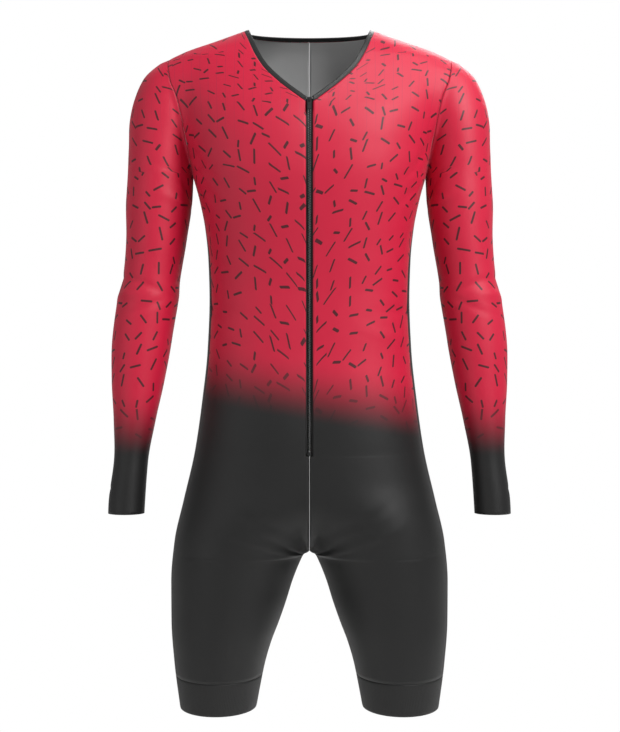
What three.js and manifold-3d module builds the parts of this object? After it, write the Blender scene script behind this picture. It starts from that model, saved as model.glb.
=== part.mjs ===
// A long-sleeved cycling skinsuit in the shape it has when worn, hollow, in millimetres.
// +Z is up, the front faces -Y and the wearer's left is +X. The origin lies on the middle
// line, level with the sides of the neck, where the wearer's shoulders carry the suit.
import * as THREE from "three";
import Module from "manifold-3d";

const wasm = await Module();
wasm.setup();

// Driving sizes
const WALL = 1.6;
const SEAM_GAP = 0.3;
const ARMHOLE_GAP = 1.1;
const BINDING_GAP = 1;
const NECK_Z = -2.2;
const SHOULDER_END_Z = -40;
const ARMPIT_Z = -194;
const TRUNK_END_Z = -554;
const BAND_TOP_Z = -847;
const HEM_Z = -890;
const CUFF_Z = -634;
const ZIP_TOP_Z = -112;
const ZIP_BOTTOM_Z = -556;
const ZIP_SLOT = 4.4;
const TAPE_REACH = 12;
const TAPE_THICK = 1;
const CHAIN_HALF = 1.8;
const CHAIN_THICK = 2.4;
const BINDING_WIDTH = 6.5;
const SIDE_HALF_WIDTH = 33;
const ARMHOLE_BLEND = 45;
const THIGH_BLEND = 60;
const ARC_STEPS = 120;
const STEEPEST = 6;

// A table of named columns, and smooth curves through each of them from top to bottom
function curvesOf(names, rows) {
  const z = rows.map((row) => -row[0]);
  const curves = {};
  names.slice(1).forEach((name, index) => {
    const value = rows.map((row) => row[index + 1]);
    const slope = z.slice(1).map((at, i) => (value[i + 1] - value[i]) / (at - z[i]));
    const tangent = value.map((_, i) => {
      if (i === 0) return slope[0];
      if (i === value.length - 1) return slope[i - 1];
      const product = slope[i - 1] * slope[i];
      return product <= 0 ? 0 : (2 * product) / (slope[i - 1] + slope[i]);
    });
    curves[name] = (height) => {
      const at = Math.min(Math.max(-height, z[0]), z[z.length - 1]);
      const i = Math.max(0, z.findIndex((knot) => knot >= at) - 1);
      const span = z[i + 1] - z[i];
      const t = (at - z[i]) / span;
      const rise = t * t * (3 - 2 * t);
      const start = t * (1 - t) * (1 - t);
      const end = t * t * (t - 1);
      return (
        value[i] + (value[i + 1] - value[i]) * rise + span * (tangent[i] * start + tangent[i + 1] * end)
      );
    };
  });
  return curves;
}

// Half the trunk and one leg: outer side, front, back, the depth of the side line, squareness
const BODY = curvesOf(
  ["z", "side", "front", "back", "middle", "square"],
  [
    [8, 62, -22, 56, 12, 2.0],
    [0, 84, -32, 62, 12, 2.0],
    [-16, 127, -46, 74, 11, 2.0],
    [-32, 171, -58, 83, 10, 2.0],
    [-44, 190, -66, 89, 9, 2.05],
    [-66, 193, -80, 98, 8, 2.1],
    [-119, 177, -105, 110, 6, 2.2],
    [-158, 163, -113, 113, 4, 2.25],
    [-194, 153.5, -115, 112, 2, 2.3],
    [-224, 145, -113, 108, 0, 2.3],
    [-264, 137, -108, 100, 0, 2.3],
    [-304, 133, -103, 93, 0, 2.3],
    [-356, 131.5, -99, 87, 0, 2.3],
    [-422, 134, -100, 92, 0, 2.3],
    [-488, 141, -105, 104, 0, 2.3],
    [-554, 150.5, -109, 115, 0, 2.3],
    [-620, 165.7, -110, 120, 2, 2.25],
    [-673, 177.5, -104, 113, 2, 2.2],
    [-726, 182, -97, 99, 2, 2.1],
    [-779, 181.5, -91, 88, 0, 2.05],
    [-832, 177.5, -82, 77, -2, 2.0],
    [-890, 170, -71, 66, -3, 2.0],
  ],
);

// Inner side of the leg; above the crotch it lies past the middle line, up to the whole trunk
const INSEAM = curvesOf(
  ["z", "inner"],
  [
    [-554, -150.5],
    [-590, -132],
    [-620, -84],
    [-647, -38],
    [-668, -13],
    [-680, -3.5],
    [-686, 0],
    [-689, 6],
    [-700, 12],
    [-726, 22.4],
    [-752, 30.5],
    [-779, 40],
    [-805, 50],
    [-832, 58],
    [-858, 63.5],
    [-890, 69.5],
  ],
);

// One arm: centre, half width, depth of its centre line, half depth
const ARM = curvesOf(
  ["z", "centre", "half", "middle", "depth"],
  [
    [-36, 138, 36, 9, 22],
    [-46, 152, 48, 9, 36],
    [-66, 170, 50, 7, 46],
    [-92, 181, 50, 5, 50],
    [-119, 188, 49, 4, 52],
    [-158, 194.5, 44, 3, 51.5],
    [-194, 196.5, 43.3, 2, 50.5],
    [-224, 198, 43.5, 0, 49.5],
    [-277, 201.4, 39.7, -3, 46],
    [-330, 207.9, 37.6, -5, 43],
    [-356, 212, 40, -7, 43],
    [-409, 219.5, 39, -11, 41.5],
    [-462, 224.1, 34.4, -16, 37],
    [-515, 228, 27.1, -22, 31],
    [-568, 232.1, 22.1, -28, 26],
    [-620, 236.8, 23.5, -33, 26.5],
    [-640, 237.5, 23.3, -35, 26.5],
  ],
);

// How far the armhole seam and the front neck seam lie from the middle line
const ARMHOLE = curvesOf(
  ["z", "x"],
  [
    [-40, 186],
    [-50, 185],
    [-76, 180],
    [-95, 172],
    [-120, 166],
    [-150, 160.5],
    [-175, 156],
    [-194, 153.35],
  ],
);
const NECKLINE = curvesOf(
  ["z", "x"],
  [
    [-2.2, 86.5],
    [-20, 80],
    [-40, 72],
    [-62, 60],
    [-84, 40],
    [-109, 10],
    [-113, 4.4],
  ],
);

// Heights of the rings
const TRUNK_LEVELS = [
  -2.2, -9, -18, -28, -40, -41, -43, -46, -50, -62, -76, -92, -109, -113, -132, -152, -174, -194, -204, -224, -256,
  -300, -350, -400, -450, -500, -550, -556, -560, -600, -635, -660, -676, -683, -690, -702, -725,
  -780, -847,
];
const ARM_LEVELS = [-204, -224, -256, -290, -325, -356, -395, -440, -490, -540, -590, -634];

// Rounds off the hollow where two rounded forms meet
function roundedMax(a, b, radius) {
  if (radius <= 0) return Math.max(a, b);
  const near = Math.max(radius - Math.abs(a - b), 0) / radius;
  return Math.max(a, b) + (near * near * radius) / 4;
}

function lobeReach(x, centre, half, depth, square) {
  const left = 1 - Math.abs((x - centre) / half) ** square;
  return Math.sign(left) * depth * Math.abs(left) ** (1 / square);
}

// Inner side of the ring of one half: minus its outer side while the trunk is one ring
function innerSide(z) {
  return z > TRUNK_END_Z ? -BODY.side(z) : Math.max(INSEAM.inner(z), -BODY.side(z));
}

// How far the trunk or an arm reaches forward (face 1) or back (face -1) at a height and side
function trunkReach(z, x, face) {
  const inner = innerSide(z);
  const centre = (BODY.side(z) + inner) / 2;
  const half = (BODY.side(z) - inner) / 2;
  const middle = BODY.middle(z);
  const depth = face > 0 ? middle - BODY.front(z) : BODY.back(z) - middle;
  const own = lobeReach(x, centre, half, depth, BODY.square(z));
  if (inner >= 0 || centre < 1e-6) return own - face * middle;
  const other = lobeReach(-x, centre, half, depth, BODY.square(z));
  const room = Math.max(0, 0.9 * lobeReach(-inner, centre, half, depth, BODY.square(z)));
  const radius = ((room * THIGH_BLEND) / (room + THIGH_BLEND)) * (centre / half);
  return roundedMax(own, other, radius) - face * middle;
}

function armReach(z, x, face) {
  return lobeReach(x, ARM.centre(z), ARM.half(z), ARM.depth(z), 2) - face * ARM.middle(z);
}

function joinedReach(z, x, face) {
  const trunk = trunkReach(z, x, face);
  if (z > SHOULDER_END_Z || z <= ARMPIT_Z) return trunk;
  const room = 0.9 * Math.min(
    armReach(z, BODY.side(z), face) + face * ARM.middle(z),
    trunkReach(z, ARM.centre(z) - ARM.half(z), face) + face * BODY.middle(z),
  );
  const near = Math.max(room, 0);
  return roundedMax(trunk, armReach(z, x, face), (near * ARMHOLE_BLEND) / (near + ARMHOLE_BLEND));
}

// A point of the trunk ring, t from the inner end (0) to the side line (1)
function trunkPoint(z, t, face) {
  const inner = innerSide(z);
  const centre = (BODY.side(z) + inner) / 2;
  const half = (BODY.side(z) - inner) / 2;
  const first = inner >= 0 ? Math.PI : Math.acos(-((centre / half) ** (BODY.square(z) / 2)));
  const angle = first * (1 - t);
  const c = Math.cos(angle);
  const x = centre + half * Math.sign(c) * Math.abs(c) ** (2 / BODY.square(z));
  if (t >= 1) return new THREE.Vector3(BODY.side(z), BODY.middle(z), z);
  if (t <= 0 && inner >= 0) return new THREE.Vector3(inner, BODY.middle(z), z);
  return new THREE.Vector3(x, -face * joinedReach(z, x, face), z);
}

// A point of the arm ring, t from the inner end (0) to the outer line (1)
function armPoint(z, t, face) {
  const angle = Math.PI * (1 - t);
  const x = ARM.centre(z) + ARM.half(z) * Math.cos(angle);
  if (t <= 0 || t >= 1 || z <= ARMPIT_Z) {
    return new THREE.Vector3(x, ARM.middle(z) - face * ARM.depth(z) * Math.sin(angle), z);
  }
  return new THREE.Vector3(x, -face * joinedReach(z, x, face), z);
}

// One ring quarter as a run of points with its lengths, and look-ups along it
function ringOf(pointAt, z, face) {
  const points = [];
  for (let i = 0; i <= ARC_STEPS; i++) points.push(pointAt(z, i / ARC_STEPS, face));
  const length = [0];
  for (let i = 1; i <= ARC_STEPS; i++) length.push(length[i - 1] + points[i].distanceTo(points[i - 1]));
  const find = (values, wanted) => {
    let i = values.findIndex((value) => value >= wanted);
    if (i < 0) i = ARC_STEPS;
    if (i === 0) return 0;
    return (i - 1 + (wanted - values[i - 1]) / (values[i] - values[i - 1])) / ARC_STEPS;
  };
  const total = length[ARC_STEPS];
  const lengthAt = (t) => {
    const i = Math.min(ARC_STEPS - 1, Math.floor(t * ARC_STEPS));
    return length[i] + (length[i + 1] - length[i]) * (t * ARC_STEPS - i);
  };
  return {
    total,
    lengthAt,
    tAtLength: (wanted) => find(length, Math.min(Math.max(wanted, 0), total)),
    tAtX: (x) => find(points.map((p) => p.x), x),
  };
}

function surfacePoint(pointAt, z, t, face) {
  const dt = 0.004;
  const dz = 0.6;
  const point = pointAt(z, t, face);
  if (z <= SHOULDER_END_Z && z > ARMPIT_Z) {
    const slopeX = joinedReach(z, point.x + dz / 2, face) - joinedReach(z, point.x - dz / 2, face);
    const slopeZ = joinedReach(z + dz / 2, point.x, face) - joinedReach(z - dz / 2, point.x, face);
    if (Math.abs(slopeX) < STEEPEST * dz) {
      return { point, normal: new THREE.Vector3(-slopeX / dz, -face, -slopeZ / dz).normalize() };
    }
  }
  const along = pointAt(z, Math.min(t + dt, 1 - 1e-4), face).sub(pointAt(z, Math.max(t - dt, 1e-4), face));
  const inside = Math.min(Math.max(t, 0.002), 0.998);
  const down = pointAt(z - dz, inside, face).sub(pointAt(z + dz, inside, face));
  const normal = down.cross(along).multiplyScalar(face).normalize();
  return { point, normal };
}

// A closed cloth wall on a grid of outer points: rows of { point, normal }
function wallOf(rows, lift = 0, thick = WALL) {
  const vertices = [];
  const width = rows[0].length;
  for (const depth of [lift, lift - thick]) {
    for (const row of rows) {
      for (const { point, normal } of row) {
        const moved = point.clone().addScaledVector(normal, depth);
        vertices.push(moved.x, moved.y, moved.z);
      }
    }
  }
  const far = rows.length * width;
  const faces = [];
  const quad = (a, b, c, d) => faces.push(a, b, c, a, c, d);
  for (let i = 0; i + 1 < rows.length; i++) {
    for (let j = 0; j + 1 < width; j++) {
      const a = i * width + j;
      quad(a, a + width, a + width + 1, a + 1);
      quad(far + a, far + a + 1, far + a + width + 1, far + a + width);
    }
  }
  for (let j = 0; j + 1 < width; j++) {
    const last = (rows.length - 1) * width + j;
    quad(j, j + 1, far + j + 1, far + j);
    quad(last, far + last, far + last + 1, last + 1);
  }
  for (let i = 0; i + 1 < rows.length; i++) {
    const left = i * width;
    const right = left + width - 1;
    quad(left, far + left, far + left + width, left + width);
    quad(right, right + width, far + right + width, far + right);
  }
  const geometry = new THREE.BufferGeometry();
  geometry.setAttribute("position", new THREE.Float32BufferAttribute(vertices, 3));
  geometry.setIndex(faces);
  return geometry;
}

// The same wall on the wearer's right: mirrored in the middle plane, faces turned back outwards
function mirrored(geometry) {
  const copy = geometry.clone();
  copy.scale(-1, 1, 1);
  const index = Array.from(copy.index.array);
  for (let i = 0; i < index.length; i += 3) [index[i + 1], index[i + 2]] = [index[i + 2], index[i + 1]];
  copy.setIndex(index);
  return copy;
}

function turnedOut(geometry) {
  const p = geometry.getAttribute("position");
  const index = geometry.index.array;
  let volume = 0;
  const [a, b, c] = [new THREE.Vector3(), new THREE.Vector3(), new THREE.Vector3()];
  for (let i = 0; i < index.length; i += 3) {
    a.fromBufferAttribute(p, index[i]);
    b.fromBufferAttribute(p, index[i + 1]);
    c.fromBufferAttribute(p, index[i + 2]);
    volume += a.dot(b.cross(c));
  }
  if (volume > 0) return geometry;
  const turned = Array.from(index);
  for (let i = 0; i < turned.length; i += 3) [turned[i + 1], turned[i + 2]] = [turned[i + 2], turned[i + 1]];
  geometry.setIndex(turned);
  return geometry;
}

// Half the width of the side panel, which starts as a point at the armpit
function sideHalfWidth(z) {
  return 2 + (SIDE_HALF_WIDTH - 2) * THREE.MathUtils.smoothstep(ARMPIT_Z - z, 0, 130);
}

// Lengths along the front or back quarter ring between which a panel lies
function panelEnds(ring, z, face) {
  let inner = SEAM_GAP / 2;
  if (face > 0 && z >= -113) inner = ring.lengthAt(ring.tAtX(NECKLINE.x(z)));
  else if (face > 0 && z >= ZIP_BOTTOM_Z) inner = ring.lengthAt(ring.tAtX(ZIP_SLOT));
  let outer = ring.total - SEAM_GAP / 2;
  if (z <= SHOULDER_END_Z && z > ARMPIT_Z - 1) {
    outer = ring.lengthAt(ring.tAtX(ARMHOLE.x(z))) - ARMHOLE_GAP / 2;
  } else if (z < ARMPIT_Z) outer = ring.total - sideHalfWidth(z) - SEAM_GAP / 2;
  return [inner, outer];
}

function rowBetween(pointAt, ring, z, face, lengths) {
  return lengths.map((s) => surfacePoint(pointAt, z, ring.tAtLength(s), face));
}

// A front or back panel; its first strip is as wide as the zip tape under it
function panel(face) {
  const steps = [0, 0.05, 0.26, 0.47, 0.68, 0.86, 1];
  const rows = TRUNK_LEVELS.map((level) => {
    const z = level === BAND_TOP_Z ? level + SEAM_GAP / 2 : level;
    const ring = ringOf(trunkPoint, z, face);
    const [from, to] = panelEnds(ring, z, face);
    return rowBetween(trunkPoint, ring, z, face, steps.map((step) => from + (to - from) * step));
  });
  return turnedOut(wallOf(rows));
}

// Joins the front and back quarter rings across the side line
function acrossSide(pointAt, z, frontLengths, backLengths) {
  const front = ringOf(pointAt, z, 1);
  const back = ringOf(pointAt, z, -1);
  return [
    ...rowBetween(pointAt, front, z, 1, frontLengths(front)),
    ...rowBetween(pointAt, back, z, -1, backLengths(back)).reverse(),
  ];
}

function sidePanel() {
  const levels = TRUNK_LEVELS.filter((z) => z < ARMPIT_Z - 5);
  const rows = [ARMPIT_Z - 3, ...levels].map((level) => {
    const z = level === BAND_TOP_Z ? level + SEAM_GAP / 2 : level;
    const reach = sideHalfWidth(z) - SEAM_GAP / 2;
    const lengths = (ring) => [ring.total - reach, ring.total - reach / 3];
    return acrossSide(trunkPoint, z, lengths, lengths);
  });
  return turnedOut(wallOf(rows));
}

function legBand() {
  const steps = [0, 0.08, 0.2, 0.35, 0.5, 0.65, 0.8, 0.94];
  const rows = [BAND_TOP_Z - SEAM_GAP / 2, -868, HEM_Z].map((z) => {
    const lengths = (ring) => steps.map((step) => SEAM_GAP / 2 + (ring.total - SEAM_GAP / 2) * step);
    return acrossSide(trunkPoint, z, lengths, lengths);
  });
  return turnedOut(wallOf(rows));
}

function sleeve() {
  const steps = [0, 0.1, 0.24, 0.4, 0.56, 0.74, 0.92];
  const cap = TRUNK_LEVELS.filter((z) => z < SHOULDER_END_Z && z >= ARMPIT_Z);
  const rows = [...cap, ...ARM_LEVELS].map((z) => {
    const lengths = (ring) => {
      const open = z > ARMPIT_Z ? ring.lengthAt(ring.tAtX(ARMHOLE.x(z))) : 0;
      return steps.map((step) => open + ARMHOLE_GAP / 2 + (ring.total - open - ARMHOLE_GAP / 2) * step);
    };
    return acrossSide(armPoint, z, lengths, lengths);
  });
  return turnedOut(wallOf(rows));
}

// The neck seam from the zip over the shoulder to the middle of the back
function neckSeam() {
  const seam = [];
  for (const z of [-113, -109, -92, -76, -62, -50, -40, -28, -18, -9, NECK_Z]) {
    const ring = ringOf(trunkPoint, z, 1);
    seam.push(surfacePoint(trunkPoint, z, ring.tAtX(NECKLINE.x(z)), 1));
  }
  const front = ringOf(trunkPoint, NECK_Z, 1);
  const start = front.lengthAt(front.tAtX(NECKLINE.x(NECK_Z)));
  for (const step of [0.45, 0.95]) {
    const t = front.tAtLength(start + (front.total - start) * step);
    seam.push(surfacePoint(trunkPoint, NECK_Z, t, 1));
  }
  const back = ringOf(trunkPoint, NECK_Z, -1);
  for (const step of [0.93, 0.84, 0.74, 0.62, 0.5, 0.37, 0.24, 0.12, 0]) {
    seam.push(surfacePoint(trunkPoint, NECK_Z, back.tAtLength(back.total * step), -1));
  }
  return seam;
}

// A band of binding along the neck seam, from one side of the zip round to the other
function neckBinding() {
  const half = neckSeam();
  const flip = ({ point, normal }) => ({
    point: point.clone().setX(-point.x),
    normal: normal.clone().setX(-normal.x),
  });
  const seam = [...half, ...half.slice(0, -1).reverse().map(flip)];
  const rows = seam.map(({ point, normal }, i) => {
    const before = seam[Math.max(i - 1, 0)].point;
    const after = seam[Math.min(i + 1, seam.length - 1)].point;
    const along = after.clone().sub(before).normalize();
    const across = normal.clone().cross(along).normalize();
    if (i === 0 || i === seam.length - 1) across.set(0, across.y, across.z).normalize();
    const place = (reach) => ({ point: point.clone().addScaledVector(across, reach), normal });
    return [place(BINDING_GAP), place(BINDING_WIDTH / 2), place(BINDING_WIDTH)];
  });
  return turnedOut(wallOf(rows));
}

// Zip: what lies at the front edge, moved in or out from the points of the panels
function frontMiddle(z, x) {
  const ring = ringOf(trunkPoint, z, 1);
  return surfacePoint(trunkPoint, z, x > 0 ? ring.tAtX(x) : 0, 1);
}

const ZIP_LEVELS = TRUNK_LEVELS.filter((z) => z < -113 && z >= -550);

function zipTape() {
  const rows = [-109, -113, ...ZIP_LEVELS, ZIP_BOTTOM_Z].map((z) => {
    return [CHAIN_HALF + SEAM_GAP, ZIP_SLOT, TAPE_REACH].map((x) => frontMiddle(z, x));
  });
  return turnedOut(wallOf(rows, -WALL - SEAM_GAP, TAPE_THICK));
}

function barAlongZip(levels, halfWidth, lift, thick) {
  const rows = levels.map((z) => {
    const { point, normal } = frontMiddle(z, 0);
    const flat = normal.clone().setX(0).normalize();
    return [-halfWidth, halfWidth].map((x) => ({ point: point.clone().setX(x), normal: flat }));
  });
  return turnedOut(wallOf(rows, lift, thick));
}

// Slider and pull, in their own frame: y points out of the cloth, z up along the zip
const SLIDER = { length: 8, half: 3, plateFrom: 0.7, plateTo: 1.9, flange: 0.7, flangeFrom: -1.5 };
const BRIDGE = { half: 0.8, height: 2.4, foot: 1.1, from: -2.6, to: 2.6 };
const PULL = { halfWidth: 2.6, thick: 1.1, length: 14, armFrom: 1.2, eye: 3.9, pin: 0.5 };
const PULL_AXIS_OUT = SLIDER.plateTo + 0.85;
const PULL_AXIS_UP = 0.4;

function solidOf(geometry) {
  const position = geometry.index ? geometry.toNonIndexed() : geometry;
  const points = position.getAttribute("position").array;
  const keys = new Map();
  const vertices = [];
  const faces = [];
  for (let i = 0; i < points.length; i += 3) {
    const key = [points[i], points[i + 1], points[i + 2]].map((v) => v.toFixed(4)).join();
    if (!keys.has(key)) {
      keys.set(key, vertices.length / 3);
      vertices.push(points[i], points[i + 1], points[i + 2]);
    }
    faces.push(keys.get(key));
  }
  const mesh = { numProp: 3, vertProperties: new Float32Array(vertices), triVerts: new Uint32Array(faces) };
  return new wasm.Manifold(new wasm.Mesh(mesh));
}

function geometryOf(solid) {
  const { vertProperties, triVerts } = solid.getMesh();
  const geometry = new THREE.BufferGeometry();
  geometry.setAttribute("position", new THREE.BufferAttribute(vertProperties, 3));
  geometry.setIndex(new THREE.BufferAttribute(triVerts, 1));
  return geometry;
}

// A box given by its lowest and highest x, y and z
function block(x0, x1, y0, y1, z0, z1) {
  const box = new THREE.BoxGeometry(x1 - x0, y1 - y0, z1 - z0);
  return solidOf(box.translate((x0 + x1) / 2, (y0 + y1) / 2, (z0 + z1) / 2));
}

function slider() {
  const { length, half, plateFrom, plateTo, flange, flangeFrom } = SLIDER;
  const end = length / 2;
  const top = plateTo + BRIDGE.height;
  return geometryOf(
    block(-half, half, plateFrom, plateTo, -end, end)
      .add(block(-half, -half + flange, flangeFrom, plateFrom + 0.1, -end, end))
      .add(block(half - flange, half, flangeFrom, plateFrom + 0.1, -end, end))
      .add(block(-BRIDGE.half, BRIDGE.half, top - 0.8, top, BRIDGE.from, BRIDGE.to))
      .add(block(-BRIDGE.half, BRIDGE.half, plateTo - 0.1, top, BRIDGE.from, BRIDGE.from + BRIDGE.foot))
      .add(block(-BRIDGE.half, BRIDGE.half, plateTo - 0.1, top, BRIDGE.to - BRIDGE.foot, BRIDGE.to)),
  );
}

// The pull hangs from its pin, which lies across under the bridge
function pull() {
  const { halfWidth, thick, length, armFrom, eye, pin } = PULL;
  const flat = thick / 2;
  return geometryOf(
    block(-halfWidth, halfWidth, -flat, flat, -length, -eye)
      .add(block(-halfWidth, -armFrom, -flat, flat, -eye - 0.1, pin))
      .add(block(armFrom, halfWidth, -flat, flat, -eye - 0.1, pin))
      .add(block(-armFrom - 0.1, armFrom + 0.1, -pin, pin, -pin, pin)),
  );
}

// Colours and finishes
const FINISH = {
  red: { color: 0xd7193c, roughness: 0.55, metalness: 0 },
  black: { color: 0x0c0c0c, roughness: 0.5, metalness: 0 },
  trim: { color: 0x101010, roughness: 0.6, metalness: 0 },
  metal: { color: 0x2a2a2c, roughness: 0.35, metalness: 0.7 },
};
const skinsuit = new THREE.Group();

function addPiece(name, geometry, finish, parent = skinsuit) {
  const mesh = new THREE.Mesh(geometry, new THREE.MeshStandardMaterial(FINISH[finish]));
  mesh.name = name;
  parent.add(mesh);
}

const PAIRS = [
  ["front", panel(1), "red"],
  ["back", panel(-1), "red"],
  ["side", sidePanel(), "black"],
  ["sleeve", sleeve(), "red"],
  ["leg_band", legBand(), "black"],
  ["zip_tape", zipTape(), "trim"],
];
for (const [name, geometry, finish] of PAIRS) {
  addPiece(name + "_left", geometry, finish);
  addPiece(name + "_right", mirrored(geometry), finish);
}
addPiece("neck_binding", neckBinding(), "trim");
const chain = barAlongZip([-107, -113, ...ZIP_LEVELS], CHAIN_HALF, 0.3, CHAIN_THICK);
const bottomStop = barAlongZip([-550.4, -555.4], CHAIN_HALF, 0.5, CHAIN_THICK);
addPiece("zip_chain", chain, "trim");
addPiece("zip_bottom_stop", bottomStop, "metal");

const middle = frontMiddle(ZIP_TOP_Z, 0);
const zipHead = new THREE.Group();
zipHead.position.copy(middle.point);
const lean = Math.atan2(-middle.normal.z, -middle.normal.y);
zipHead.rotation.set(lean, 0, Math.PI);
skinsuit.add(zipHead);
addPiece("zip_slider", slider(), "metal", zipHead);
const pullGroup = new THREE.Group();
pullGroup.position.set(0, PULL_AXIS_OUT, PULL_AXIS_UP);
zipHead.add(pullGroup);
addPiece("zip_pull", pull(), "metal", pullGroup);

export default skinsuit;
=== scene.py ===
import math

import bmesh
import bpy
import numpy as np
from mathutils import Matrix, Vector


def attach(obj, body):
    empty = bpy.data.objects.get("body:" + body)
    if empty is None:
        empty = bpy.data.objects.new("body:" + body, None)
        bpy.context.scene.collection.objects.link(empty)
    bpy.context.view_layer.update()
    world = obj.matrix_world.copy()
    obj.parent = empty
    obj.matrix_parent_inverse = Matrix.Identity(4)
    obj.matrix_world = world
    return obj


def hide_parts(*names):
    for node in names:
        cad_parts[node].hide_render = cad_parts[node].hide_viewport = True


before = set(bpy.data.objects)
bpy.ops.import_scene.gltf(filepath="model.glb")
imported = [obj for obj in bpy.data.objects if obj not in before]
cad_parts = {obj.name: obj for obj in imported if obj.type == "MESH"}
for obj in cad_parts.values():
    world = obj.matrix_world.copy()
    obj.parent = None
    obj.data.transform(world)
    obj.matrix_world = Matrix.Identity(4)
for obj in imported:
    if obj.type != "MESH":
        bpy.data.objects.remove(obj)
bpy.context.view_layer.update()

bl_info = {
    "name": "Cycling Skinsuit",
    "version": (1, 0, 0),
    "blender": (4, 5, 0),
    "location": "View3D > Sidebar > Skinsuit",
    "description": "Makes the cloth, binding and zip of a long-sleeved cycling skinsuit",
    "category": "Add Mesh",
}

MM = 0.001

# Sizes of the suit in millimetres, measured from the origin at the neck
SEAM_GAP = 0.3
ARMHOLE_GAP = 0.7
NECK_Z = -2.2
V_Z = -113
SHOULDER_END_Z = -40
ARMPIT_Z = -194
ZIP_BOTTOM_Z = -556
TRUNK_END_Z = -554
BAND_TOP_Z = -847
HEM_Z = -890
CUFF_Z = -634
ZIP_SLOT = 4.4
CHAIN_HALF = 1.8
SIDE_HALF_WIDTH = 33
ARMHOLE_BLEND = 45
THIGH_BLEND = 60
ARC_STEPS = 200
TAPE_REACH = 11.5
TAPE_DROP = 1.75
TAPE_WALL = 0.9
EDGE_WALL = 1.5
TEETH_TOP_Z = -108.0
TEETH_BOTTOM_Z = -550
TOOTH_PITCH = 1.5
TOOTH_HALF = 0.55

# Points across each piece
PANEL_COLUMNS = 64
SIDE_COLUMNS = 20
SLEEVE_COLUMNS = 96
BAND_COLUMNS = 120
BINDING_COLUMNS = 9
TAPE_COLUMNS = 4

# Where the print turns black, in metres: the height where it begins and where it ends
TRUNK_FADE = (-0.43, -0.515)
TRUNK_FADE_SLANT = 0.17
SLEEVE_FADE = (-0.475, -0.56)

# A cut's narrowest width in metres, more than the binding and the tapes really have,
# and the least share of its rectangle that it may fill
NARROWEST_CUT = 0.0101
LEAST_FILL = 0.31

# Stage: strength of the surrounding light, and the floor in metres
ROOM_LIGHT = 0.28
FLOOR_Z = -1.6
FLOOR_HALF = 2.5


class Curves:
    """Smooth curves through the columns of a table whose first column is the height, falling."""

    def __init__(self, names, rows):
        table = np.array(rows, dtype=float)
        self.z = -table[:, 0]
        self.columns = {name: table[:, i + 1] for i, name in enumerate(names[1:])}
        self.tangents = {name: self.slopes(value) for name, value in self.columns.items()}

    def slopes(self, value):
        slope = np.diff(value) / np.diff(self.z)
        out = np.empty_like(value)
        out[0], out[-1] = slope[0], slope[-1]
        product = slope[:-1] * slope[1:]
        total = slope[:-1] + slope[1:]
        out[1:-1] = np.where(product > 0, 2 * product / np.where(total == 0, 1, total), 0)
        return out

    def at(self, name, height):
        where = min(max(-height, self.z[0]), self.z[-1])
        i = int(min(max(np.searchsorted(self.z, where) - 1, 0), len(self.z) - 2))
        span = self.z[i + 1] - self.z[i]
        t = (where - self.z[i]) / span
        value, tangent = self.columns[name], self.tangents[name]
        rise = t * t * (3 - 2 * t)
        bend = tangent[i] * t * (1 - t) ** 2 + tangent[i + 1] * t * t * (t - 1)
        return value[i] + (value[i + 1] - value[i]) * rise + span * bend


BODY = Curves(
    ("z", "side", "front", "back", "middle", "square"),
    [
        (8, 62, -22, 56, 12, 2.0),
        (0, 84, -32, 62, 12, 2.0),
        (-16, 127, -46, 74, 11, 2.0),
        (-32, 171, -58, 83, 10, 2.0),
        (-44, 190, -66, 89, 9, 2.05),
        (-66, 193, -80, 98, 8, 2.1),
        (-119, 177, -105, 110, 6, 2.2),
        (-158, 163, -113, 113, 4, 2.25),
        (-194, 153.5, -115, 112, 2, 2.3),
        (-224, 145, -113, 108, 0, 2.3),
        (-264, 137, -108, 100, 0, 2.3),
        (-304, 133, -103, 93, 0, 2.3),
        (-356, 131.5, -99, 87, 0, 2.3),
        (-422, 134, -100, 92, 0, 2.3),
        (-488, 141, -105, 104, 0, 2.3),
        (-554, 150.5, -109, 115, 0, 2.3),
        (-620, 165.7, -110, 120, 2, 2.25),
        (-673, 177.5, -104, 113, 2, 2.2),
        (-726, 182, -97, 99, 2, 2.1),
        (-779, 181.5, -91, 88, 0, 2.05),
        (-832, 177.5, -82, 77, -2, 2.0),
        (-890, 170, -71, 66, -3, 2.0),
    ],
)
INSEAM = Curves(
    ("z", "inner"),
    [
        (-554, -150.5),
        (-590, -132),
        (-620, -84),
        (-647, -38),
        (-668, -13),
        (-680, -3.5),
        (-686, 0),
        (-689, 6),
        (-700, 12),
        (-726, 22.4),
        (-752, 30.5),
        (-779, 40),
        (-805, 50),
        (-832, 58),
        (-858, 63.5),
        (-890, 69.5),
    ],
)
ARM = Curves(
    ("z", "centre", "half", "middle", "depth"),
    [
        (-36, 138, 36, 9, 22),
        (-46, 152, 48, 9, 36),
        (-66, 170, 50, 7, 46),
        (-92, 181, 50, 5, 50),
        (-119, 188, 49, 4, 52),
        (-158, 194.5, 44, 3, 51.5),
        (-194, 196.5, 43.3, 2, 50.5),
        (-224, 198, 43.5, 0, 49.5),
        (-277, 201.4, 39.7, -3, 46),
        (-330, 207.9, 37.6, -5, 43),
        (-356, 212, 40, -7, 43),
        (-409, 219.5, 39, -11, 41.5),
        (-462, 224.1, 34.4, -16, 37),
        (-515, 228, 27.1, -22, 31),
        (-568, 232.1, 22.1, -28, 26),
        (-620, 236.8, 23.5, -33, 26.5),
        (-640, 237.5, 23.3, -35, 26.5),
    ],
)
ARMHOLE = Curves(
    ("z", "x"),
    [
        (-40, 186),
        (-50, 185),
        (-76, 180),
        (-95, 172),
        (-120, 166),
        (-150, 160.5),
        (-175, 156),
        (-194, 153.35),
    ],
)
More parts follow.
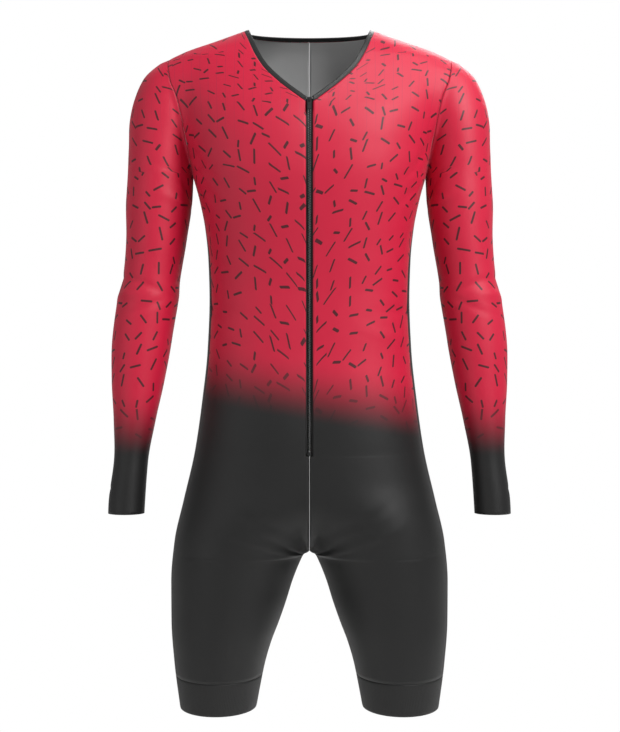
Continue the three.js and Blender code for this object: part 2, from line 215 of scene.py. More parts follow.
NECKLINE = Curves(
    ("z", "x"),
    [
        (-2.2, 86.5),
        (-20, 80),
        (-40, 72),
        (-62, 60),
        (-84, 40),
        (-109, 10),
        (-113, 4.4),
    ],
)

# Creases: piece, distance along the row and height of the middle, half length, half width,
# depth (outwards positive) and turn in degrees from level, all sizes in millimetres
CREASES = [
    ("sleeve", 70, -338, 34, 4.5, -1.6, 14),
    ("sleeve", 95, -352, 26, 5.5, 1.5, -8),
    ("sleeve", 60, -366, 30, 4.0, -1.3, -18),
    ("sleeve", 120, -330, 22, 4.0, -1.0, 24),
    ("sleeve", 190, -346, 30, 5.0, -1.4, 6),
    ("sleeve", 210, -362, 24, 4.0, 1.0, -12),
    ("sleeve", 24, -212, 30, 5.0, -1.8, 38),
    ("sleeve", 40, -232, 26, 5.5, 1.4, 30),
    ("sleeve", 250, -215, 32, 5.0, -1.7, -34),
    ("sleeve", 80, -600, 18, 3.0, -0.8, 6),
    ("front", 150, -184, 36, 6.0, -2.2, 42),
    ("front", 164, -214, 30, 6.5, 1.6, 36),
    ("front", 140, -226, 26, 5.0, -1.2, 30),
    ("front", 60, -640, 36, 6.0, -1.6, 26),
    ("front", 84, -664, 34, 6.5, 1.4, 32),
    ("front", 44, -676, 26, 5.0, -1.3, 40),
    ("front", 130, -372, 40, 8.0, -1.0, 8),
    ("front", 100, -404, 34, 7.0, 0.8, -10),
    ("back", 150, -190, 34, 6.0, -2.0, -40),
    ("back", 120, -356, 44, 7.5, -1.6, 6),
    ("back", 80, -376, 38, 6.5, 1.3, -8),
    ("back", 130, -392, 30, 6.0, -1.2, 10),
    ("back", 60, -700, 30, 6.0, -1.6, -24),
    ("back", 90, -716, 28, 5.5, 1.3, -30),
]


def rounded_max(a, b, radius):
    if radius <= 0:
        return np.maximum(a, b)
    near = np.maximum(radius - np.abs(a - b), 0) / radius
    return np.maximum(a, b) + near * near * radius / 4


def lobe_reach(x, centre, half, depth, square):
    left = 1 - np.abs((x - centre) / half) ** square
    return np.sign(left) * depth * np.abs(left) ** (1 / square)


def inner_side(z):
    side = BODY.at("side", z)
    return -side if z > TRUNK_END_Z else max(INSEAM.at("inner", z), -side)


def trunk_reach(z, x, face):
    inner, side = inner_side(z), BODY.at("side", z)
    centre, half = (side + inner) / 2, (side - inner) / 2
    middle, square = BODY.at("middle", z), BODY.at("square", z)
    depth = middle - BODY.at("front", z) if face > 0 else BODY.at("back", z) - middle
    own = lobe_reach(x, centre, half, depth, square)
    if inner >= 0 or centre < 1e-6:
        return own - face * middle
    other = lobe_reach(-x, centre, half, depth, square)
    room = max(0, 0.9 * float(lobe_reach(-inner, centre, half, depth, square)))
    radius = room * THIGH_BLEND / (room + THIGH_BLEND) * centre / half
    return rounded_max(own, other, radius) - face * middle


def arm_reach(z, x, face):
    depth = lobe_reach(x, ARM.at("centre", z), ARM.at("half", z), ARM.at("depth", z), 2)
    return depth - face * ARM.at("middle", z)


def joined_reach(z, x, face):
    trunk = trunk_reach(z, x, face)
    if z > SHOULDER_END_Z or z <= ARMPIT_Z:
        return trunk
    arm_room = arm_reach(z, BODY.at("side", z), face) + face * ARM.at("middle", z)
    inner_arm = ARM.at("centre", z) - ARM.at("half", z)
    trunk_room = trunk_reach(z, inner_arm, face) + face * BODY.at("middle", z)
    near = max(0.9 * min(float(arm_room), float(trunk_room)), 0)
    radius = near * ARMHOLE_BLEND / (near + ARMHOLE_BLEND)
    return rounded_max(trunk, arm_reach(z, x, face), radius)


def trunk_ring(z, face):
    """Points of the front (1) or back (-1) quarter ring, from its inner end to the side line."""
    inner, side = inner_side(z), BODY.at("side", z)
    centre, half = (side + inner) / 2, (side - inner) / 2
    square = BODY.at("square", z)
    first = math.pi if inner >= 0 else math.acos(-((centre / half) ** (square / 2)))
    c = np.cos(first * (1 - np.linspace(0, 1, ARC_STEPS)))
    x = centre + half * np.sign(c) * np.abs(c) ** (2 / square)
    y = -face * joined_reach(z, x, face)
    y[-1] = BODY.at("middle", z)
    if inner >= 0:
        y[0] = y[-1]
    return np.column_stack([x, y, np.full_like(x, z)])


def arm_ring(z, face):
    angle = math.pi * (1 - np.linspace(0, 1, ARC_STEPS))
    x = ARM.at("centre", z) + ARM.at("half", z) * np.cos(angle)
    round_y = ARM.at("middle", z) - face * ARM.at("depth", z) * np.sin(angle)
    y = round_y if z <= ARMPIT_Z else -face * joined_reach(z, x, face)
    y[0], y[-1] = round_y[0], round_y[-1]
    return np.column_stack([x, y, np.full_like(x, z)])


def lengths_of(points):
    steps = np.linalg.norm(np.diff(points, axis=0), axis=1)
    return np.concatenate([[0], np.cumsum(steps)])


def cut_run(points, start, end, count):
    """count points spaced evenly between two lengths along a run of points."""
    length = lengths_of(points)
    wanted = np.linspace(start, end, count)
    return np.column_stack([np.interp(wanted, length, points[:, k]) for k in range(3)])


def length_at_x(points, x):
    first = int(np.argmax(points[:, 0] >= x)) if points[:, 0].max() >= x else len(points) - 1
    return float(np.interp(x, points[: first + 1, 0], lengths_of(points)[: first + 1]))


def side_half_width(z):
    t = min(max((ARMPIT_Z - z) / 130, 0), 1)
    return 2 + (SIDE_HALF_WIDTH - 2) * t * t * (3 - 2 * t)


def panel_rows(face, levels, count):
    rows = []
    for z in levels:
        ring = trunk_ring(z, face)
        total = lengths_of(ring)[-1]
        start = SEAM_GAP / 2
        if face > 0 and z >= V_Z:
            start = length_at_x(ring, NECKLINE.at("x", z))
        elif face > 0 and z >= ZIP_BOTTOM_Z:
            start = length_at_x(ring, ZIP_SLOT)
        end = total - SEAM_GAP / 2
        if SHOULDER_END_Z >= z > ARMPIT_Z:
            end = length_at_x(ring, ARMHOLE.at("x", z)) - ARMHOLE_GAP / 2
        elif z <= ARMPIT_Z:
            end = total - side_half_width(z) - SEAM_GAP / 2
        rows.append(cut_run(ring, start, end, count))
    return np.array(rows)


def across_rows(ring_of, levels, count, start_of):
    """Rows from the front quarter ring over the side line to the back one."""
    rows = []
    for z in levels:
        front, back = ring_of(z, 1), ring_of(z, -1)
        run = np.concatenate([front, back[-2::-1]])
        length = lengths_of(run)
        start = start_of(z, front)
        end = length[-1] - start_of(z, back)
        rows.append(cut_run(run, start, end, count))
    return np.array(rows)


def grid_normals(rows):
    along = np.gradient(rows, axis=1)
    down = np.gradient(rows, axis=0)
    normal = np.cross(down, along)
    return normal / np.maximum(np.linalg.norm(normal, axis=2, keepdims=True), 1e-9)


def cloth_map(rows):
    """Distances over the cloth: along each row, and up each column from the lowest row."""
    along = np.cumsum(np.linalg.norm(np.diff(rows, axis=1), axis=2), axis=1)
    along = np.concatenate([np.zeros((len(rows), 1)), along], axis=1) + rows[:, :1, 0]
    steps = np.linalg.norm(np.diff(rows[::-1], axis=0), axis=2)
    up = np.concatenate([np.zeros((1, rows.shape[1])), np.cumsum(steps, axis=0)])[::-1]
    return along, up


def crease_lift(piece, rows):
    along, _ = cloth_map(rows)
    lift = np.zeros(along.shape)
    for name, at, z, half_length, half_width, depth, turn in CREASES:
        if name != piece:
            continue
        c, s = math.cos(math.radians(turn)), math.sin(math.radians(turn))
        du, dv = along - along[:, :1] - at, rows[:, :, 2] - z
        run, cross = du * c + dv * s, dv * c - du * s
        wander = 2.5 * np.sin(run / 13 + at)
        lift += depth * np.exp(-((run / half_length) ** 2) - ((cross - wander) / half_width) ** 2)
    return lift


def new_object(name, vertices, faces, indices=None, uvs=None, materials=()):
    mesh = bpy.data.meshes.new(name)
    mesh.from_pydata([tuple(v) for v in vertices], [], faces)
    for material in materials:
        mesh.materials.append(material)
    if indices is not None:
        mesh.polygons.foreach_set("material_index", indices)
    if uvs is not None:
        layer = mesh.uv_layers.new(name="Cloth")
        loops = np.empty(len(mesh.loops), dtype=int)
        mesh.loops.foreach_get("vertex_index", loops)
        layer.data.foreach_set("uv", uvs[loops].ravel())
    mesh.polygons.foreach_set("use_smooth", [True] * len(mesh.polygons))
    mesh.update()
    piece = bpy.data.objects.new(name, mesh)
    bpy.context.scene.collection.objects.link(piece)
    return piece


def cloth_wall(name, rows, lift, thick, materials, mirror=False, shift=(0, 0)):
    """A closed cloth wall on a grid of outer points in millimetres."""
    normal = grid_normals(rows)
    if (normal[:, :, 1] * np.sign(rows[:, :, 1])).mean() < 0:
        normal = -normal
    outer = rows + normal * lift[:, :, None]
    inner = outer - normal * thick
    along, up = cloth_map(rows)
    uv = np.stack([along + shift[0], up + shift[1]], axis=2).reshape(-1, 2) * MM
    points = np.concatenate([outer.reshape(-1, 3), inner.reshape(-1, 3)]) * MM
    if mirror:
        points[:, 0] *= -1
    r, c = rows.shape[:2]
    far = r * c
    a = (np.arange(r - 1)[:, None] * c + np.arange(c - 1)[None, :]).ravel()
    outside = np.stack([a, a + c, a + c + 1, a + 1], axis=1)
    inside = np.stack([a, a + 1, a + c + 1, a + c], axis=1) + far
    top = np.arange(c - 1)
    bottom = top + (r - 1) * c
    left = np.arange(r - 1) * c
    right = left + c - 1
    rims = np.concatenate([
        np.stack([top, top + 1, top + 1 + far, top + far], axis=1),
        np.stack([bottom, bottom + far, bottom + 1 + far, bottom + 1], axis=1),
        np.stack([left, left + far, left + c + far, left + c], axis=1),
        np.stack([right, right + c, right + c + far, right + far], axis=1),
    ])
    faces = np.concatenate([outside, inside, rims])
    first = faces[0]
    facing = np.cross(points[first[1]] - points[first[0]], points[first[2]] - points[first[0]])
    wanted = normal[0, 0] * (np.array([-1, 1, 1]) if mirror else 1)
    if np.dot(facing, wanted) < 0:
        faces = faces[:, ::-1]
    indices = [0] * len(outside) + [1] * len(inside) + [0] * len(rims)
    return new_object(name, points, faces.tolist(), indices, np.concatenate([uv, uv]), materials)


# --- Materials -------------------------------------------------------------------------


class Value:
    """A number socket with the usual arithmetic, each step adding a Math node."""

    def __init__(self, made, socket):
        self.made, self.socket = made, socket

    def math(self, operation, *others):
        return self.made.math(operation, self, *others)

    def __add__(self, other):
        return self.math("ADD", other)

    def __radd__(self, other):
        return self.made.math("ADD", other, self)

    def __sub__(self, other):
        return self.math("SUBTRACT", other)

    def __rsub__(self, other):
        return self.made.math("SUBTRACT", other, self)

    def __mul__(self, other):
        return self.math("MULTIPLY", other)

    def __rmul__(self, other):
        return self.made.math("MULTIPLY", other, self)


class Maker:
    """One material: its nodes, and the sockets of its surface shader."""

    def __init__(self, name, **constants):
        self.material = bpy.data.materials.new(name)
        self.material.use_nodes = True
        self.tree = self.material.node_tree
        self.shader = self.tree.nodes["Principled BSDF"]
        for socket, value in constants.items():
            self.shader.inputs[socket.replace("_", " ")].default_value = value

    def node(self, kind, settings=None, inputs=None, output=0):
        made = self.tree.nodes.new(kind)
        for name, value in (settings or {}).items():
            setattr(made, name, value)
        for key, value in (inputs or {}).items():
            self.put(made.inputs[key], value)
        return Value(self, made.outputs[output])

    def put(self, socket, value):
        if isinstance(value, Value):
            self.tree.links.new(value.socket, socket)
        else:
            socket.default_value = value

    def math(self, operation, *values):
        return self.node("ShaderNodeMath", {"operation": operation}, dict(enumerate(values)))

    def ramp(self, value, low, high):
        """0 below low, 1 above high, smooth between."""
        return self.node(
            "ShaderNodeMapRange",
            {"interpolation_type": "SMOOTHSTEP"},
            {"Value": value, "From Min": low, "From Max": high},
        )

    def mix(self, factor, a, b):
        made = self.tree.nodes.new("ShaderNodeMix")
        made.data_type = "RGBA"
        self.put(made.inputs[0], factor)
        self.put(made.inputs[6], a)
        self.put(made.inputs[7], b)
        return Value(self, made.outputs[2])

    def place(self):
        made = self.tree.nodes.new("ShaderNodeTexCoord")
        parts = self.tree.nodes.new("ShaderNodeSeparateXYZ")
        self.tree.links.new(made.outputs["Object"], parts.inputs[0])
        return Value(self, made.outputs["Object"]), [Value(self, o) for o in parts.outputs]

    def cloth(self):
        made = self.tree.nodes.new("ShaderNodeUVMap")
        made.uv_map = "Cloth"
        parts = self.tree.nodes.new("ShaderNodeSeparateXYZ")
        self.tree.links.new(made.outputs["UV"], parts.inputs[0])
        return Value(self, made.outputs["UV"]), [Value(self, o) for o in parts.outputs]

    def bump(self, height, strength, distance):
        made = self.tree.nodes.new("ShaderNodeBump")
        made.inputs["Strength"].default_value = strength
        made.inputs["Distance"].default_value = distance
        self.put(made.inputs["Height"], height)
        self.tree.links.new(made.outputs["Normal"], self.shader.inputs["Normal"])

    def surface(self, **links):
        for socket, value in links.items():
            self.put(self.shader.inputs[socket.replace("_", " ")], value)
        return self.material


def knit(made, uv, size):
    """Height of a fine stretch knit: rows of small loops."""
    parts = uv[1]
    across = (parts[0] * (2 * math.pi / size)).math("SINE")
    up = (parts[1] * (2 * math.pi / (size * 0.8)) + across * 0.9).math("SINE")
    return across * 0.5 + up * 0.5


def dashes(made, uv, spacing):
    """Short round-ended strokes at scattered places and turns: 1 inside a stroke."""
    scale = 1 / spacing
    cells = made.tree.nodes.new("ShaderNodeTexVoronoi")
    cells.voronoi_dimensions = "2D"
    cells.inputs["Scale"].default_value = scale
    cells.inputs["Randomness"].default_value = 0.62
    made.put(cells.inputs["Vector"], uv[0])
    offset = made.tree.nodes.new("ShaderNodeVectorMath")
    offset.operation = "SUBTRACT"
    made.put(offset.inputs[0], uv[0])
    made.tree.links.new(cells.outputs["Position"], offset.inputs[1])
    parts = made.tree.nodes.new("ShaderNodeSeparateXYZ")
    made.tree.links.new(offset.outputs[0], parts.inputs[0])
    dx, dy = Value(made, parts.outputs[0]), Value(made, parts.outputs[1])
    chance = made.tree.nodes.new("ShaderNodeSeparateColor")
    made.tree.links.new(cells.outputs["Color"], chance.inputs[0])
    turn = Value(made, chance.outputs[0]) * math.pi
    half = Value(made, chance.outputs[1]) * 0.0045 + 0.0032
    c, s = turn.math("COSINE"), turn.math("SINE")
    run = (dx * c + dy * s).math("ABSOLUTE")
    cross = dy * c - dx * s
    past = (run - half).math("MAXIMUM", 0.0)
    distance = (past * past + cross * cross).math("SQRT")
    return 1 - made.ramp(distance, 0.0012, 0.0016)


def printed_cloth(name, fade_top, fade_bottom, slant, ribs):
    sizes = bpy.context.scene.skinsuit
    made = Maker(name, Roughness=0.5, Sheen_Weight=0.08, Sheen_Roughness=0.35)
    uv = made.cloth()
    place = made.place()
    x, _, z = place[1]
    cloud = made.node("ShaderNodeTexNoise", None, {"Vector": place[0], "Scale": 9.0, "Detail": 3.0})
    height = z + x * slant
    black = 1 - made.ramp(height, fade_bottom, fade_top)
    mark = dashes(made, uv, sizes.dash_spacing) * (1 - black * 0.6)
    red = made.mix(cloud, tuple(c * 0.92 for c in sizes.red[:3]) + (1,), tuple(sizes.red[:3]) + (1,))
    marked = made.mix(mark, red, tuple(sizes.dash[:3]) + (1,))
    rib = made.ramp((uv[1][0] * (math.pi / 0.012)).math("SINE").math("ABSOLUTE"), 0.10, 0.02)
    upper = made.ramp(z, -0.19, -0.10)
    ribbed = made.mix(rib * upper * ribs, marked, (0.30, 0.02, 0.06, 1))
    colour = made.mix(black, ribbed, tuple(sizes.black[:3]) + (1,))
    made.bump(knit(made, uv, 0.0011) + rib * upper * (-2.0 * ribs), 0.25, 0.0004)
    return made.surface(Base_Color=colour, Roughness=0.44 + cloud * 0.14)


def plain_cloth(name, colour, roughness, size, sheen=0.05):
    made = Maker(name, Roughness=roughness, Sheen_Weight=sheen, Sheen_Roughness=0.4)
    uv = made.cloth()
    place = made.place()
    cloud = made.node("ShaderNodeTexNoise", None, {"Vector": place[0], "Scale": 14.0, "Detail": 3.0})
    shade = made.mix(cloud, tuple(c * 0.8 for c in colour) + (1,), tuple(colour) + (1,))
    made.bump(knit(made, uv, size), 0.3, 0.0005)
    return made.surface(Base_Color=shade, Roughness=roughness - 0.06 + cloud * 0.12)


def hard_finish(name, colour, roughness, metallic):
    made = Maker(name, Metallic=metallic)
    place = made.place()
    grain = made.node("ShaderNodeTexNoise", None, {"Vector": place[0], "Scale": 900.0, "Detail": 2.0})
    shade = made.mix(grain, tuple(c * 0.7 for c in colour) + (1,), tuple(colour) + (1,))
    made.bump(grain, 0.2, 0.0001)
    return made.surface(Base_Color=shade, Roughness=roughness - 0.1 + grain * 0.2)


# --- Pieces ----------------------------------------------------------------------------


def declare(piece, node, rows):
    """Rides on the suit and stands for its node; works out the flat size that it is made in, but nothing
    keeps that size.
    """
    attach(piece, "suit")
    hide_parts(node)
    widths = np.linalg.norm(np.diff(rows, axis=1), axis=2).sum(axis=1)
    heights = np.linalg.norm(np.diff(rows, axis=0), axis=2).sum(axis=0)
    a = np.cross(rows[1:, :-1] - rows[:-1, :-1], rows[:-1, 1:] - rows[:-1, :-1])
    b = np.cross(rows[1:, :-1] - rows[1:, 1:], rows[:-1, 1:] - rows[1:, 1:])
    area = (np.linalg.norm(a, axis=2).sum() + np.linalg.norm(b, axis=2).sum()) / 2
    flat = tuple(max(float(size.max()) * MM, NARROWEST_CUT) for size in (widths, heights))
    area = min(max(float(area) * MM * MM, LEAST_FILL * flat[0] * flat[1]), flat[0] * flat[1])


def heights_between(top, bottom, step, keep=()):
    count = max(2, int(round((top - bottom) / step)) + 1)
    return sorted(set(np.round(np.linspace(top, bottom, count), 3)) | set(keep), reverse=True)


class SkinsuitSizes(bpy.types.PropertyGroup):
    wall: bpy.props.FloatProperty(
        name="Wall", description="Thickness of the cloth", default=0.0012, unit="LENGTH")
    dash_spacing: bpy.props.FloatProperty(
        name="Dash spacing", description="Distance between printed dashes", default=0.021, unit="LENGTH")
    red: bpy.props.FloatVectorProperty(
        name="Red", description="Main colour of the print", subtype="COLOR", size=3,
        default=(0.66, 0.006, 0.045))
    dash: bpy.props.FloatVectorProperty(
        name="Dashes", description="Colour of the printed dashes", subtype="COLOR", size=3,
        default=(0.075, 0.004, 0.010))
    black: bpy.props.FloatVectorProperty(
        name="Black", description="Colour of the lower cloth", subtype="COLOR", size=3,
        default=(0.006, 0.006, 0.006))
    lining: bpy.props.FloatVectorProperty(
        name="Inside", description="Colour of the inner face", subtype="COLOR", size=3,
        default=(0.62, 0.62, 0.62))


def on_each_side():
    return (("left", False), ("right", True))


class SKINSUIT_OT_trunk(bpy.types.Operator):
    """Front, back and side panels"""

    bl_idname = "skinsuit.trunk"
    bl_label = "Trunk panels"

    def execute(self, context):
        sizes = context.scene.skinsuit
        thick = sizes.wall / MM
        printed = printed_cloth("printed_trunk", *TRUNK_FADE, TRUNK_FADE_SLANT, 0.5)
        black = plain_cloth("black_side_cloth", (0.008, 0.008, 0.008), 0.45, 0.0011)
        lining = plain_cloth("inner_face", tuple(sizes.lining), 0.8, 0.0012, 0.1)
        top = heights_between(NECK_Z, -60, 1.5, (SHOULDER_END_Z, -40.5, -41))
        low = heights_between(-64, BAND_TOP_Z + SEAM_GAP / 2, 4.5, (-109, -111, V_Z, -556, -558, -560))
        crotch = heights_between(-676, -700, 1.2)
        levels = sorted(set(top) | set(low) | set(crotch), reverse=True)
        for face, name in ((1, "front"), (-1, "back")):
            rows = panel_rows(face, levels, PANEL_COLUMNS)
            lift = crease_lift(name, rows)
            for side, mirror in on_each_side():
                shift = (0, 0) if mirror else (3000, 700)
                piece = cloth_wall(
                    f"{name}_{side}_cloth", rows, lift, thick, (printed, lining), mirror, shift)
                declare(piece, f"{name}_{side}", rows)
        side_levels = [z for z in levels if z < ARMPIT_Z - 3]

        def start(z, ring):
            return lengths_of(ring)[-1] - side_half_width(z) + SEAM_GAP / 2

        rows = across_rows(trunk_ring, side_levels, SIDE_COLUMNS, start)
        for side, mirror in on_each_side():
            piece = cloth_wall(
                f"side_{side}_cloth", rows, np.zeros(rows.shape[:2]), thick, (black, lining), mirror)
            declare(piece, f"side_{side}", rows)
        return {"FINISHED"}


class SKINSUIT_OT_sleeves(bpy.types.Operator):
    """Both sleeves with their caps"""

    bl_idname = "skinsuit.sleeves"
    bl_label = "Sleeves"

    def execute(self, context):
        sizes = context.scene.skinsuit
        printed = printed_cloth("printed_sleeve", *SLEEVE_FADE, 0.0, 0.35)
        lining = plain_cloth("sleeve_inner_face", tuple(sizes.lining), 0.8, 0.0012, 0.1)
        cap = heights_between(-41, -60, 1.5)
        low = heights_between(-64, CUFF_Z, 4.0, (ARMPIT_Z,))

        def start(z, ring):
            if z > ARMPIT_Z:
                return length_at_x(ring, ARMHOLE.at("x", z)) + ARMHOLE_GAP / 2
            return ARMHOLE_GAP / 2

        rows = across_rows(arm_ring, cap + low, SLEEVE_COLUMNS, start)
        lift = crease_lift("sleeve", rows)
        for side, mirror in on_each_side():
            piece = cloth_wall(
                f"sleeve_{side}_cloth", rows, lift, sizes.wall / MM, (printed, lining), mirror, (900, 300))
            declare(piece, f"sleeve_{side}", rows)
        return {"FINISHED"}


class SKINSUIT_OT_leg_bands(bpy.types.Operator):
    """Elastic bands at the legs"""

    bl_idname = "skinsuit.leg_bands"
    bl_label = "Leg bands"

    def execute(self, context):
        band = plain_cloth("elastic_band", (0.012, 0.012, 0.012), 0.6, 0.0022)
        levels = heights_between(BAND_TOP_Z - SEAM_GAP / 2, HEM_Z, 2.5)
        rows = across_rows(trunk_ring, levels, BAND_COLUMNS, lambda z, ring: SEAM_GAP / 2)
        lift = np.zeros(rows.shape[:2])
        lift[0], lift[-1] = -0.3, -0.2
        for side, mirror in on_each_side():
            piece = cloth_wall(f"leg_band_{side}_cloth", rows, lift, EDGE_WALL, (band, band), mirror)
            declare(piece, f"leg_band_{side}", rows)
        return {"FINISHED"}


def neck_path():
    """Seam points with outward normals, from the zip over the shoulder to the middle back."""
    run, out = [], []
    for z in np.linspace(V_Z, NECK_Z, 60):
        around = [trunk_ring(z + d, 1) for d in (0.0, 0.5, -0.5)]
        at = length_at_x(around[0], NECKLINE.at("x", z))
        share = at / lengths_of(around[0])[-1]
        points = [cut_run(r, share * lengths_of(r)[-1], share * lengths_of(r)[-1] + 1, 2) for r in around]
        run.append(points[0][0])
        out.append(np.cross(points[2][0] - points[1][0], points[0][1] - points[0][0]))
    ends = trunk_ring(NECK_Z, 1), trunk_ring(NECK_Z - 1, 1)
    backs = trunk_ring(NECK_Z, -1), trunk_ring(NECK_Z - 1, -1)
    start = length_at_x(ends[0], NECKLINE.at("x", NECK_Z))
    level = []
    for near, low, face in ((ends[0], ends[1], 1), (backs[0], backs[1], -1)):
        total, low_total = lengths_of(near)[-1], lengths_of(low)[-1]
        shares = np.linspace(start / total, 1, 6)[1:] if face > 0 else np.linspace(1, 0, 70)[1:]
        for share in shares:
            point = cut_run(near, share * total, share * total, 1)[0]
            below = cut_run(low, share * low_total, share * low_total, 1)[0]
            ahead = cut_run(near, max(share * total - 1, 0), max(share * total - 1, 0) + 2, 2)
            level.append((point, face * np.cross(below - point, ahead[1] - ahead[0])))
    run += [p for p, _ in level]
    out += [n for _, n in level]
    normals = np.array(out)
    normals /= np.linalg.norm(normals, axis=1, keepdims=True)
    return np.array(run), normals


class SKINSUIT_OT_neck(bpy.types.Operator):
    """Elastic binding folded over the neck edge"""

    bl_idname = "skinsuit.neck"
    bl_label = "Neck binding"

    def execute(self, context):
        binding = plain_cloth("neck_elastic", (0.014, 0.014, 0.014), 0.42, 0.0012)
        run, normals = neck_path()
        flip = np.array([-1, 1, 1])
        run = np.concatenate([run, run[-2::-1] * flip])
        normals = np.concatenate([normals, normals[-2::-1] * flip])
        along = np.gradient(run, axis=0)
        along /= np.linalg.norm(along, axis=1, keepdims=True)
        across = np.cross(normals, along)
        across /= np.linalg.norm(across, axis=1, keepdims=True)
        across[0, 0] = across[-1, 0] = 0
        reach = np.linspace(0.4, 6.5, BINDING_COLUMNS)
        rows = run[:, None, :] + across[:, None, :] * reach[None, :, None]
        crown = 0.35 * np.sin(np.linspace(0, math.pi, BINDING_COLUMNS)) - 0.1
        outer = rows + normals[:, None, :] * crown[None, :, None]
        piece = cloth_wall(
            "neck_binding_cloth", outer[:, ::-1], np.zeros(outer.shape[:2]), EDGE_WALL, (binding, binding))
        fix_outwards(piece)
        declare(piece, "neck_binding", rows)
        return {"FINISHED"}


def fix_outwards(piece):
    made = bmesh.new()
    made.from_mesh(piece.data)
    if made.calc_volume(signed=True) < 0:
        bmesh.ops.reverse_faces(made, faces=made.faces)
    made.to_mesh(piece.data)
    made.free()


def middle_line(z):
    return np.array([0, BODY.at("front", z), z])


class SKINSUIT_OT_zip(bpy.types.Operator):
    """Zip tapes and teeth; the slider and its pull get their enamel"""

    bl_idname = "skinsuit.zip"
    bl_label = "Zip"

    def execute(self, context):
        tape = plain_cloth("zip_tape_weave", (0.012, 0.012, 0.012), 0.7, 0.0009)
        coil = hard_finish("zip_coil_nylon", (0.02, 0.02, 0.02), 0.4, 0.0)
        metal = hard_finish("dark_enamel", (0.06, 0.06, 0.062), 0.35, 0.8)
        levels = heights_between(-109, ZIP_BOTTOM_Z, 6)
        rows = []
        for z in levels:
            ring = trunk_ring(z, 1)
            inner, outer = length_at_x(ring, CHAIN_HALF + SEAM_GAP), length_at_x(ring, TAPE_REACH)
            rows.append(cut_run(ring, inner, outer, TAPE_COLUMNS))
        rows = np.array(rows)
        rows[:, :, 1] += TAPE_DROP
        for side, mirror in on_each_side():
            piece = cloth_wall(
                f"zip_tape_{side}_cloth", rows, np.zeros(rows.shape[:2]), TAPE_WALL, (tape, tape), mirror)
            declare(piece, f"zip_tape_{side}", rows)
        self.teeth(coil)
        for node in ("zip_slider", "zip_pull", "zip_bottom_stop"):
            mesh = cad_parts[node].data
            mesh.materials.clear()
            mesh.materials.append(metal)
        return {"FINISHED"}

    def teeth(self, coil):
        vertices, faces = [], []
        corners = [(-1, -1), (1, -1), (1, 1), (-1, 1)]
        z = TEETH_TOP_Z
        side = 1
        while z > TEETH_BOTTOM_Z:
            point = middle_line(z)
            b = len(vertices)
            for depth, spread in ((0.3, 0.8), (-1.9, 1.0)):
                for cx, cz in corners:
                    x = side * 0.45 + cx * 1.25 * spread
                    vertices.append((x * MM, (point[1] - depth) * MM, (z + cz * TOOTH_HALF * spread) * MM))
            faces += [(b, b + 1, b + 2, b + 3), (b + 7, b + 6, b + 5, b + 4)]
            faces += [(b + i, b + 4 + i, b + 4 + (i + 1) % 4, b + (i + 1) % 4) for i in range(4)]
            z -= TOOTH_PITCH
            side = -side
        piece = new_object("zip_teeth", vertices, faces, materials=(coil,))
        piece.data.polygons.foreach_set("use_smooth", [False] * len(piece.data.polygons))
        fix_outwards(piece)
        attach(piece, "suit")
        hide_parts("zip_chain")


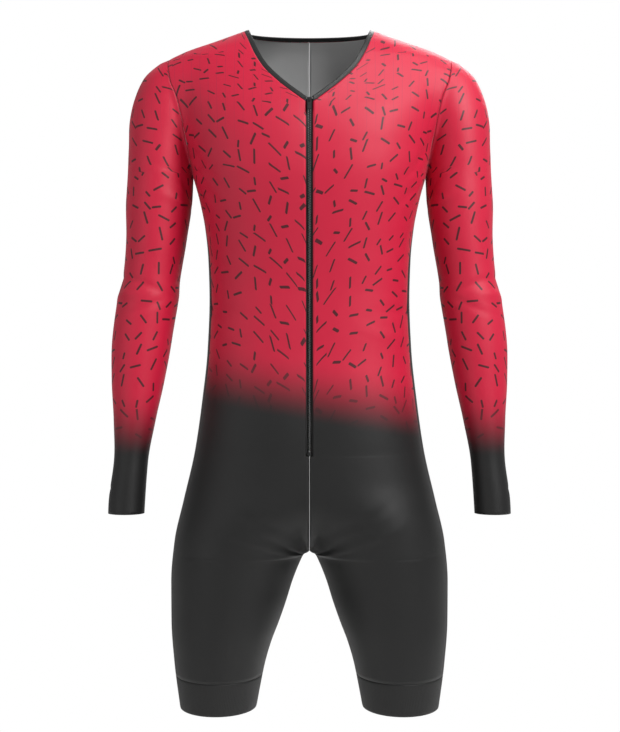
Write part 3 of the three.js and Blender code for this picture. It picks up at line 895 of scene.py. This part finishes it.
class SKINSUIT_OT_stage(bpy.types.Operator):
    """Pale floor, soft lights and camera"""

    bl_idname = "skinsuit.stage"
    bl_label = "Stage"

    def execute(self, context):
        pale = Maker("pale_floor", Roughness=0.9)
        soft = pale.node("ShaderNodeTexNoise", None, {"Scale": 3.0})
        pale.surface(Base_Color=pale.mix(soft, (0.93, 0.93, 0.92, 1), (0.97, 0.97, 0.96, 1)))
        floor = new_object(
            "floor",
            [(x * FLOOR_HALF, y * FLOOR_HALF, FLOOR_Z) for x, y in ((-1, -1), (1, -1), (1, 1), (-1, 1))],
            [(0, 1, 2, 3)],
            materials=(pale.material,))
        world = bpy.data.worlds.new("studio")
        world.use_nodes = True
        tree = world.node_tree
        backdrop = tree.nodes["Background"]
        backdrop.inputs[0].default_value = (1, 1, 1, 1)
        dim = tree.nodes.new("ShaderNodeMapRange")
        dim.inputs["To Min"].default_value = ROOM_LIGHT
        tree.links.new(tree.nodes.new("ShaderNodeLightPath").outputs["Is Camera Ray"], dim.inputs["Value"])
        tree.links.new(dim.outputs[0], backdrop.inputs[1])
        context.scene.world = world
        self.lamp("key", (1.35, -1.25, 1.5), 0.8, 66)
        self.lamp("fill", (-1.8, -1.4, 0.2), 1.6, 9)
        self.lamp("rim", (0.6, 1.8, 1.0), 1.2, 30)
        data = bpy.data.cameras.new("camera")
        data.sensor_width = 36
        data.lens = 70.8
        camera = bpy.data.objects.new("camera", data)
        camera.location = (0.0007, -1.9, -0.4435)
        camera.rotation_euler = (math.pi / 2, 0, 0)
        context.scene.collection.objects.link(camera)
        context.scene.camera = camera
        context.scene.view_settings.view_transform = "Standard"
        return {"FINISHED"}

    def lamp(self, name, place, size, power):
        data = bpy.data.lights.new(name, "AREA")
        data.size = size
        data.energy = power
        lamp = bpy.data.objects.new(name, data)
        bpy.context.scene.collection.objects.link(lamp)
        lamp.location = place
        aim = Vector((0, 0, -0.4)) - Vector(place)
        lamp.rotation_euler = aim.to_track_quat("-Z", "Y").to_euler()


class SKINSUIT_PT_panel(bpy.types.Panel):
    """Lists the steps that make the skinsuit"""

    bl_label = "Skinsuit"
    bl_idname = "SKINSUIT_PT_panel"
    bl_space_type = "VIEW_3D"
    bl_region_type = "UI"
    bl_category = "Skinsuit"

    def draw(self, context):
        for operator in OPERATORS:
            self.layout.operator(operator.bl_idname)
        for name in SkinsuitSizes.__annotations__:
            self.layout.prop(context.scene.skinsuit, name)


OPERATORS = (
    SKINSUIT_OT_trunk,
    SKINSUIT_OT_sleeves,
    SKINSUIT_OT_leg_bands,
    SKINSUIT_OT_neck,
    SKINSUIT_OT_zip,
    SKINSUIT_OT_stage,
)
CLASSES = (SkinsuitSizes, *OPERATORS, SKINSUIT_PT_panel)


def register():
    for cls in CLASSES:
        bpy.utils.register_class(cls)
    bpy.types.Scene.skinsuit = bpy.props.PointerProperty(type=SkinsuitSizes)


def unregister():
    del bpy.types.Scene.skinsuit
    for cls in reversed(CLASSES):
        bpy.utils.unregister_class(cls)


def main():
    register()
    bpy.ops.skinsuit.trunk()
    bpy.ops.skinsuit.sleeves()
    bpy.ops.skinsuit.leg_bands()
    bpy.ops.skinsuit.neck()
    bpy.ops.skinsuit.zip()
    bpy.ops.skinsuit.stage()


if __name__ == "__main__":
    main()
